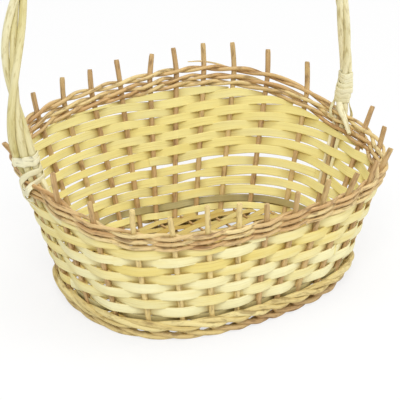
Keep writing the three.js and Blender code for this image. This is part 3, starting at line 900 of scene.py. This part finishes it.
def splint_run(row):
    start, end, whole = row_span(row)
    space = np.linspace(start, end, int((end - start) * SPLINT_SAMPLES) + 2)
    side = 1 if row % 2 == 0 else -1
    pitch = row_pitch(space)
    back = back_share(space)
    swing = weave_swing(space, near_handle(space))
    z = rows_bottom + (row + 0.5) * pitch + waver(500 + row, space, 5.5, 0.4)
    z = z + between(STRAIGHTEN_FRONT, STRAIGHTEN_BACK, back) * side * swing
    z = z + ROW_LIFTS[row] * hill(space, *ROW_LIFT_HILL) + left_lift(space, row)
    width = pitch * between(FRONT_SPLINT, BACK_SPLINT, back) * (1 + waver(540 + row, space, 4, 0.06))
    for place, reach, narrower in SLACK_STRETCHES:
        width = width - narrower * hill(space, place, reach)
    for number, place, reach, narrower in SLACK_PLACES:
        if number == row:
            width = width - narrower * hill(space, place, reach, 2)
    squeezed = np.maximum(z + width / 2 - border_bottom(space) - UNDER_BORDER, 0)
    width, z = width - squeezed, z - squeezed / 2
    tuck = 0.0
    if whole:
        tuck = -side * np.clip((space - end + TUCK_LENGTH) / TUCK_RAMP, 0, 1) * SPLINT_THICKNESS * TUCK_DEPTH
    at = on_wall(space, z, side * swing * splint_reach + tuck)
    tilt = np.radians(SPLINT_TILT + waver(520 + row, space, 4, 2))[:, None]
    facing = unit(wall_out(space, z) * np.cos(tilt) + wall_up(space, z) * np.sin(tilt))
    splint = np.searchsorted(row_joints(row, start, end, side), space)
    shade = np.random.default_rng(580 + row).uniform(0, 1, SPLINTS_IN_ROW)[splint]
    scale = np.maximum(width, NARROWEST_SPLINT) / back_pitch
    return run_of(at, facing, scale, 0.1 + 0.75 * shade, row, side * swing)


def make_splint_rows():
    for row in range(ROWS_AT_BACK):
        number = f"{row + 1:02d}"
        add_splints("splint_" + number, [splint_run(row)], 16, (back_pitch, SPLINT_THICKNESS, 0.25),
                    wall_finish, "wall_splint", "splint_row_" + number)


def make_rows_behind_wale():
    """Two narrow rows inside the wale, the upper one of green splint."""
    for number, finish in ((1, green_finish), (2, wall_finish)):
        start = NARROW_START * number
        space = np.linspace(start, start + STAKE_COUNT + ROW_OVERLAP, NARROW_SAMPLES)
        z = rows_bottom - NARROW_PITCH * (number - 0.5) + waver(560 + number, space, 6, 0.3)
        z = z + left_lift(space)
        swing = weave_swing(space) * (-1 if number == 1 else 1)
        at = on_wall(space, z, np.where(swing > 0, 0.1, 1) * swing * splint_reach)
        run = run_of(at, wall_out(space, z), 1 + waver(570 + number, space, 5, 0.05), 0.4, 30 + number, swing)
        add_splints(f"splint_behind_wale_{number}", [run], 12, (NARROW_SPLINT, SPLINT_THICKNESS, 0.2),
                    finish, "wall_splint")


# Twined border

def twine_run(pair, half):
    """One of the two rods that twine round each other and the stakes."""
    space = np.linspace(-0.1, STAKE_COUNT + 0.15, BORDER_SAMPLES)
    side = 1 if (pair + half) % 2 == 0 else -1
    back = back_share(space)
    gap = see_through_at(outline_angle(space)) - PAIR_CLOSER_AT_BACK[pair] * back if pair > 0 else 0
    key = pair * 2 + half
    middle = rim_height(space) - (pair + 0.5) * twine_pair_height - pair * CLEARANCE - gap
    swing = side * weave_swing(space, 0.3)
    rise = BORDER_RISE * (0.65 + 0.35 * back)
    z = middle + side * rise * np.sin(math.pi * space) + waver(610 + key, space, 2.7, 0.7)
    z = z + BORDER_FRONT_LIFT * (1 - back) * swing
    at = on_wall(space, z, (STAKE_ROD + 0.85 * BORDER_ROD) * swing)
    radius = BORDER_ROD * (1 + waver(630 + key, space, 4, 0.14))
    radius = radius * (0.55 + 0.45 * ease((space - space[0]) / 0.4) * ease((space[-1] - space) / 0.8))
    return run_of(at, wall_out(space, z), radius * MM, 0.45 + waver(650 + key, space, 8, 0.5), key)


def loose_end():
    """Thin end of a border rod that stands off the top of the back."""
    stations = [[*on_wall(space, rim_height(space) + lift, offset), radius]
                for space, lift, offset, radius in LOOSE_END]
    path = smooth_curve(stations, LOOSE_END_SAMPLES)
    facing = wall_out(np.full(LOOSE_END_SAMPLES, LOOSE_END[0][0]), RIM_HEIGHT)
    return run_of(path[:, :3], facing, path[:, 3] * MM, 0.7, 9)


def make_border():
    for pair in range(TWINE_PAIRS):
        for half in range(2):
            label = f"{pair + 1}_rod_{half + 1}"
            runs = [twine_run(pair, half)]
            if pair == half == 0:
                runs.append(loose_end())
            add_rods("twine_" + label, runs, 10, border_finish, "border_willow", "border_pair_" + label)


# Handle

def smooth_curve(points, count, steps=24):
    """Centripetal Catmull-Rom curve through the points, sampled evenly along its length."""
    points = np.asarray(points, float)
    before = 2 * points[0] - points[1]
    after = 2 * points[-1] - points[-2]
    knots = np.vstack([before, points, after])
    times = lengths_along(knots, 0.5)
    samples = []

    def mixed(first, second, start, end):
        return ((end - t) * first + (t - start) * second) / (end - start)

    for i in range(1, len(knots) - 2):
        t = np.linspace(times[i], times[i + 1], steps, endpoint=i == len(knots) - 3)[:, None]
        t0, t1, t2, t3 = times[i - 1:i + 3]
        a, b, c = [mixed(knots[k], knots[k + 1], times[k], times[k + 1]) for k in (i - 1, i, i + 1)]
        samples.append(mixed(mixed(a, b, t0, t2), mixed(b, c, t1, t3), t1, t2))
    dense = np.vstack(samples)
    length = lengths_along(dense)
    return sampled(np.linspace(0, length[-1], count), length, dense)


def handle_foot(stake, radius):
    inset = (2 * radius + CLEARANCE) / (4 * math.sin(THIRD / 2))
    return on_wall(stake, rim_height(stake), -inset)


left_foot = handle_foot(LEFT_POLE, HANDLE_LEFT_RADIUS)
right_foot = handle_foot(RIGHT_POLE, HANDLE_RIGHT_RADIUS)
arch = smooth_curve([
    left_foot * (1 - x) / 2 + right_foot * (1 + x) / 2 + np.array([0, 0, up * HANDLE_RISE])
    for x, up in ARCH_SHAPE
], ARCH_SAMPLES)
arch_lengths = lengths_along(arch)
arch_along = unit(np.gradient(arch, axis=0))
LEVEL = np.array([0.0, 1.0, 0.0])
arch_level = unit(LEVEL - arch_along * (arch_along @ LEVEL)[:, None])
arch_out = np.cross(arch_along, arch_level)


def on_arch(distance, level, out):
    """Points beside the arch at distances along it, so far to its level side and to its outer side."""
    def along(values):
        return sampled(distance, arch_lengths, values)
    return along(arch) + along(arch_level) * level[:, None] + along(arch_out) * out[:, None]


def in_bundle(rod, share):
    """A rod's place in the pole's section: three side by side at the left, a round bundle at the right."""
    settled = ease(share / HANDLE_FLAT_LENGTH)
    flat = HANDLE_FLATNESS * (1 - settled)
    turn = THIRD * (HANDLE_START_THIRDS + HANDLE_TWIST_THIRDS * share) + HANDLE_LEFT_TURN * (1 - settled)
    radius = between(HANDLE_RODS_LEFT, HANDLE_RODS_RIGHT, share)
    near = (2 * radius + CLEARANCE) / (2 * math.sin(THIRD / 2)) * (1 - flat)
    beside = np.sqrt((2.06 * radius) ** 2 - (1.5 * near) ** 2)
    x = near if rod == 1 else -0.5 * near
    y = beside * (rod - 1)
    return x * np.cos(turn) - y * np.sin(turn), x * np.sin(turn) + y * np.cos(turn), radius


def rod_end(slot, stake):
    """Stations of a handle rod's end inside the wall, listed upwards, each with its radius."""
    inner = slot == HANDLE_RODS - 1
    steps = 3 if inner else 6
    rim = rim_height(stake)
    bottom = rim - INNER_TIP_DROP[stake] if inner else HANDLE_END_HEIGHT
    sign = 1 if slot == 0 else -1
    stations = []
    for i in range(steps + 1):
        share = i / steps
        z = between(bottom, rim, share)
        radius = between(HANDLE_TIP_RADIUS, HANDLE_RIM_RADIUS, share)
        if inner:
            reach = HANDLE_RIM_RADIUS + 2 * TWINE_RADIUS + 2 * CLEARANCE + radius
            at = on_wall(stake + INNER_TIP_LEAN[stake] * (INNER_TIP_LEAN_START - share), z, -reach)
            radius *= INNER_TIP_SWELL
        else:
            along = wall_along(stake, z)
            at = on_wall(stake, z) + along * sign * math.copysign(HANDLE_END_SPREAD, along[1])
        stations.append([*at, radius])
    return stations


def handle_run(rod):
    """A handle rod over the arch, with both ends down in the wall."""
    share = np.linspace(0, 1, HANDLE_STATIONS)
    distance = HANDLE_GATHER + share * (arch_lengths[-1] - 2 * HANDLE_GATHER)
    level, out, radius = in_bundle(rod, share)
    radius = radius * (1 + waver(700 + rod, distance, 210, 0.05))
    pole = np.column_stack([on_arch(distance, level, out), radius])
    end_slot = (rod + HANDLE_TWIST_THIRDS) % HANDLE_RODS
    stations = rod_end(rod, LEFT_POLE) + pole.tolist() + rod_end(end_slot, RIGHT_POLE)[::-1]
    run = smooth_curve(stations, HANDLE_POINTS)
    along = unit(np.gradient(run[:, :3], axis=0))
    facing = unit(LEVEL - along * (along @ LEVEL)[:, None])
    length = lengths_along(run)
    # The share of the length makes each rod paler towards the right foot: painted light, where the lamps
    # light the handle less
    shade = 0.1 + 0.15 * rod + 0.5 * length / length[-1] + waver(710 + rod, length, 160, 0.25)
    return run_of(run[:, :3], facing, run[:, 3] * MM, shade, rod)


HANDLE_RUNS = [handle_run(rod) for rod in range(HANDLE_RODS)]


def make_handle():
    for rod, run in enumerate(HANDLE_RUNS, 1):
        add_rods(f"handle_willow_{rod}", [run], 20, handle_finish, "handle_willow", f"handle_rod_{rod}")


# Lashings

def round_rods(stake, z, turn, gap):
    """Places round the rods of a foot and their outward directions; the turn counts from the back."""
    half = slice(0, HANDLE_POINTS // 2) if stake == LEFT_POLE else slice(HANDLE_POINTS // 2, None)
    outward = -1 if stake == LEFT_POLE else 1
    direction = np.stack([outward * np.sin(turn), np.cos(turn)], -1)
    found = []
    for run in HANDLE_RUNS:
        rod = np.column_stack([run["at"], run["scale"] / MM])[half]
        rod = rod[np.argsort(rod[:, 2])]
        found.append(sampled(z, rod[:, 2], rod))
    middles, radii = np.array(found)[..., :2], np.array(found)[..., 3]
    farthest = ((middles * direction).sum(-1) + radii).argmax(0)
    each = np.arange(len(z))
    place = middles[farthest, each] + direction * (radii[farthest, each] + gap)[:, None]
    return np.column_stack([place, z]), np.column_stack([direction, np.zeros(len(z))])


def on_pole(stake, z, degrees, gap=0.75):
    at, facing = round_rods(stake, *np.array([[z], [math.radians(degrees)], [gap]]))
    return [*at[0], *facing[0]]


def on_border(space, z, offset):
    return [*on_wall(space, z, offset), *wall_out(space, z) * np.sign(offset)]


def strap(foot, strand, width, pole, border, tip=1):
    """A strap through its stations, narrowing to its tip."""
    stations = [on_pole(foot, *station) for station in pole] + [on_border(*station) for station in border]
    path = smooth_curve(stations, STRAP_SAMPLES * len(stations))
    share = np.linspace(0, 1, len(path))
    scale = width * (1 + waver(740 + strand, share, 0.7, 0.05)) * (1 - (1 - tip) * ease(share * 2 - 1))
    return run_of(path[:, :3], unit(path[:, 3:]), scale, 0.25 + 0.1 * (strand % 5), strand)


def left_rings():
    """Two rings, the second one over the first."""
    rings = []
    share = np.linspace(0, 1, LEFT_RING_SAMPLES)
    for strand, (height, tilt, width, first) in enumerate(LEFT_RINGS):
        turn = np.linspace(first, first + LEFT_RING_TURN, LEFT_RING_SAMPLES)
        z = height + tilt * np.sin(turn - LEFT_RING_HIGH_SIDE) + 0.25 * share
        at, facing = round_rods(LEFT_POLE, z, turn, STRAP_GAP + 0.5 * share + 0.5 * strand)
        rings.append(run_of(at, facing, width * (1 + waver(730 + strand, turn, 4, 0.05)), 0.2, strand))
    return rings


def right_coil():
    turns = np.linspace(0, COIL_TURNS, COIL_SAMPLES)
    height = COIL_BOTTOM + COIL_PITCH * turns
    bulge = COIL_BULGE * np.exp(-((height - COIL_BULGE_HEIGHT) / COIL_BULGE_REACH) ** 2)
    gap = STRAP_GAP + bulge + waver(760, turns, 0.8, 0.3)
    at, facing = round_rods(RIGHT_POLE, height, 2 * math.pi * turns + COIL_START, gap)
    return [run_of(at, facing, 1.3 + waver(761, turns, 1.3, 0.14), 0.35, 11)]


def make_lashings():
    for label, foot, runs, straps in (("left", LEFT_POLE, left_rings(), LEFT_STRAPS),
                                      ("right", RIGHT_POLE, right_coil(), RIGHT_STRAPS)):
        runs = runs + [strap(foot, *shape) for shape in straps]
        add_splints("skein_" + label, runs, 14, (STRAP_WIDTH, STRAP_THICKNESS, 0.3),
                    strap_finish, "lashing_skein", "lashing_" + label)


# Floor

def upward(count):
    return np.tile([0.0, 0.0, 1.0], (count, 1))


def make_floor_sticks():
    for i, space in enumerate(FLOOR_STICK_SPACES):
        front, back = [on_wall(place, stick_height) for place in (space, STAKE_COUNT - space)]
        share = np.linspace(0, 1, FLOOR_STICK_SAMPLES)[:, None]
        at = front * (1 - share) + back * share
        radius = FLOOR_STICK_RADIUS * (1 + waver(800 + i, share[:, 0] * 200, 80, 0.04))
        run = run_of(at, upward(FLOOR_STICK_SAMPLES), radius * MM, 0.3, 60 + i)
        add_rods(f"cross_stick_{i + 1}", [run], 12, stake_finish, "stick_willow", f"floor_stick_{i + 1}")


def floor_lines(axis, pitch):
    """Straight lines across the foot's outline along one axis, each as its level and its two ends."""
    along, beside = floor_outline(0.25).T[[axis, 1 - axis]]
    next_along, next_beside = np.roll(along, -1), np.roll(beside, -1)
    low, high = beside.min(), beside.max()
    count = int((high - low) / pitch)
    lines = []
    for i in range(count):
        level = low + (i + 0.5) * (high - low) / count
        crossing = (beside - level) * (next_beside - level) < 0
        share = (level - beside) / (next_beside - beside + 1e-9)
        hits = (along + share * (next_along - along))[crossing]
        if len(hits) > 1 and np.ptp(hits) > 2 * pitch:
            lines.append((level, hits.min() + 0.5, hits.max() - 0.5))
    return lines


def make_floor_mat():
    """Flat strips woven over and under thin ribs that cross the basket from front to back."""
    ribs = floor_lines(1, FLOOR_RIB_PITCH)
    levels = np.array([level for level, _, _ in ribs])
    middle = floor_bottom + FLOOR_THICKNESS / 2 + 0.5
    rib_runs = []
    for i, (level, low, high) in enumerate(ribs):
        y = np.linspace(low, high, FLOOR_SAMPLES)
        at = np.column_stack([level + waver(820 + i, y, 90, 0.8), y, np.full(FLOOR_SAMPLES, middle)])
        rib_runs.append(run_of(at, upward(FLOOR_SAMPLES), FLOOR_RIB_RADIUS * MM, 0.15, 70 + i))
    strips = []
    for i, (level, low, high) in enumerate(floor_lines(0, FLOOR_PITCH)):
        x = np.linspace(low, high, FLOOR_SAMPLES)
        crossing = np.interp(x, levels, np.arange(len(levels)), left=-0.4, right=len(levels) - 0.6)
        lift = (FLOOR_RIB_RADIUS + 0.3) * np.cos(math.pi * (crossing + i))
        at = np.column_stack([x, level + waver(840 + i, x, 120, 0.5), middle + lift])
        width = 1 + waver(860 + i, x, 90, 0.05)
        shade = np.random.default_rng(900 + i).uniform(0, 1)
        strips.append(run_of(at, upward(FLOOR_SAMPLES), width, shade, 80 + i))
    add_splints("floor_weave", strips, 10, (FLOOR_STRIP, FLOOR_STRIP_THICKNESS, 0.1),
                shaded_floor_finish, "floor_splint", "floor_mat")
    add_rods("floor_ribs", rib_runs, 10, stake_finish, "stick_willow")


make_stakes()
make_wale()
make_splint_rows()
make_rows_behind_wale()
make_border()
make_handle()
make_lashings()
make_floor_sticks()
make_floor_mat()


# Studio

def make_studio_floor():
    """White floor that glows for the camera, but less where the basket's shadow falls."""
    mesh = bpy.data.meshes.new("studio_floor")
    corners = [(x * STUDIO_REACH, y * STUDIO_REACH, 0) for x, y in ((-1, -1), (1, -1), (1, 1), (-1, 1))]
    mesh.from_pydata(corners, [], [(0, 1, 2, 3)])
    floor = add_object("studio_floor", mesh)
    material, tree, shader = new_finish("studio_floor")
    shader.inputs["Base Color"].default_value = (0.9, 0.9, 0.9, 1)
    shader.inputs["Roughness"].default_value = 1.0
    glow = tree.result("ShaderNodeEmission", {"Color": (1, 1, 1, 1), "Strength": 1.0})
    x, y = tree.across(tree.node("ShaderNodeTexCoord").outputs["Object"])
    x = (x - SHADOW_MIDDLE[0]) / SHADOW_HALF[0]
    y = (y - SHADOW_MIDDLE[1]) / SHADOW_HALF[1]
    beyond = (x * x + y * y).above(0.6, 1.15)
    seen = tree.value(tree.node("ShaderNodeLightPath").outputs["Is Camera Ray"])
    mixed = tree.node("ShaderNodeMixShader")
    for socket, value in zip(mixed.inputs, (seen * (beyond * 0.2 + 0.58), shader.outputs[0], glow)):
        tree.feed(socket, value)
    tree.feed(material.node_tree.nodes["Material Output"].inputs["Surface"], mixed.outputs[0])
    mesh.materials.append(material)


def make_lamps():
    for name, (place, size, power) in LAMPS.items():
        light = bpy.data.lights.new(name, "AREA")
        light.shape, light.size, light.energy = "DISK", size, power
        lamp = add_object(name, light)
        lamp.location = place
        lamp.rotation_euler = (Vector(LAMP_AIM) - Vector(place)).to_track_quat("-Z", "Y").to_euler()


def make_world():
    """White all round for the camera and for reflections, and dimmer as a light."""
    world = bpy.data.worlds.new("studio")
    bpy.context.scene.world = world
    world.use_nodes = True
    tree = Tree(world.node_tree)
    background = world.node_tree.nodes["Background"]
    background.inputs["Color"].default_value = (1, 1, 1, 1)
    path = tree.node("ShaderNodeLightPath").outputs
    seen = tree.value(path["Is Camera Ray"]).math("MAXIMUM", path["Is Glossy Ray"])
    tree.feed(background.inputs["Strength"], seen * (1 - WORLD_STRENGTH) + WORLD_STRENGTH)


def make_camera():
    turn, height = math.radians(VIEW_TURN), math.radians(VIEW_HEIGHT)
    back = Vector((math.sin(turn) * math.cos(height), -math.cos(turn) * math.cos(height), math.sin(height)))
    data = bpy.data.cameras.new("camera")
    data.sensor_width = SENSOR
    data.lens = FOCAL_PIXELS / PICTURE * SENSOR
    data.shift_x = -CENTRE_PIXELS[0] / PICTURE
    data.shift_y = CENTRE_PIXELS[1] / PICTURE
    camera = add_object("camera", data)
    camera.location = Vector((0, 0, AIM_HEIGHT)) + back * VIEW_DISTANCE
    camera.rotation_euler = back.to_track_quat("Z", "Y").to_euler()
    bpy.context.scene.camera = camera


make_studio_floor()
make_world()
make_lamps()
make_camera()
bpy.context.scene.view_settings.view_transform = "Standard"
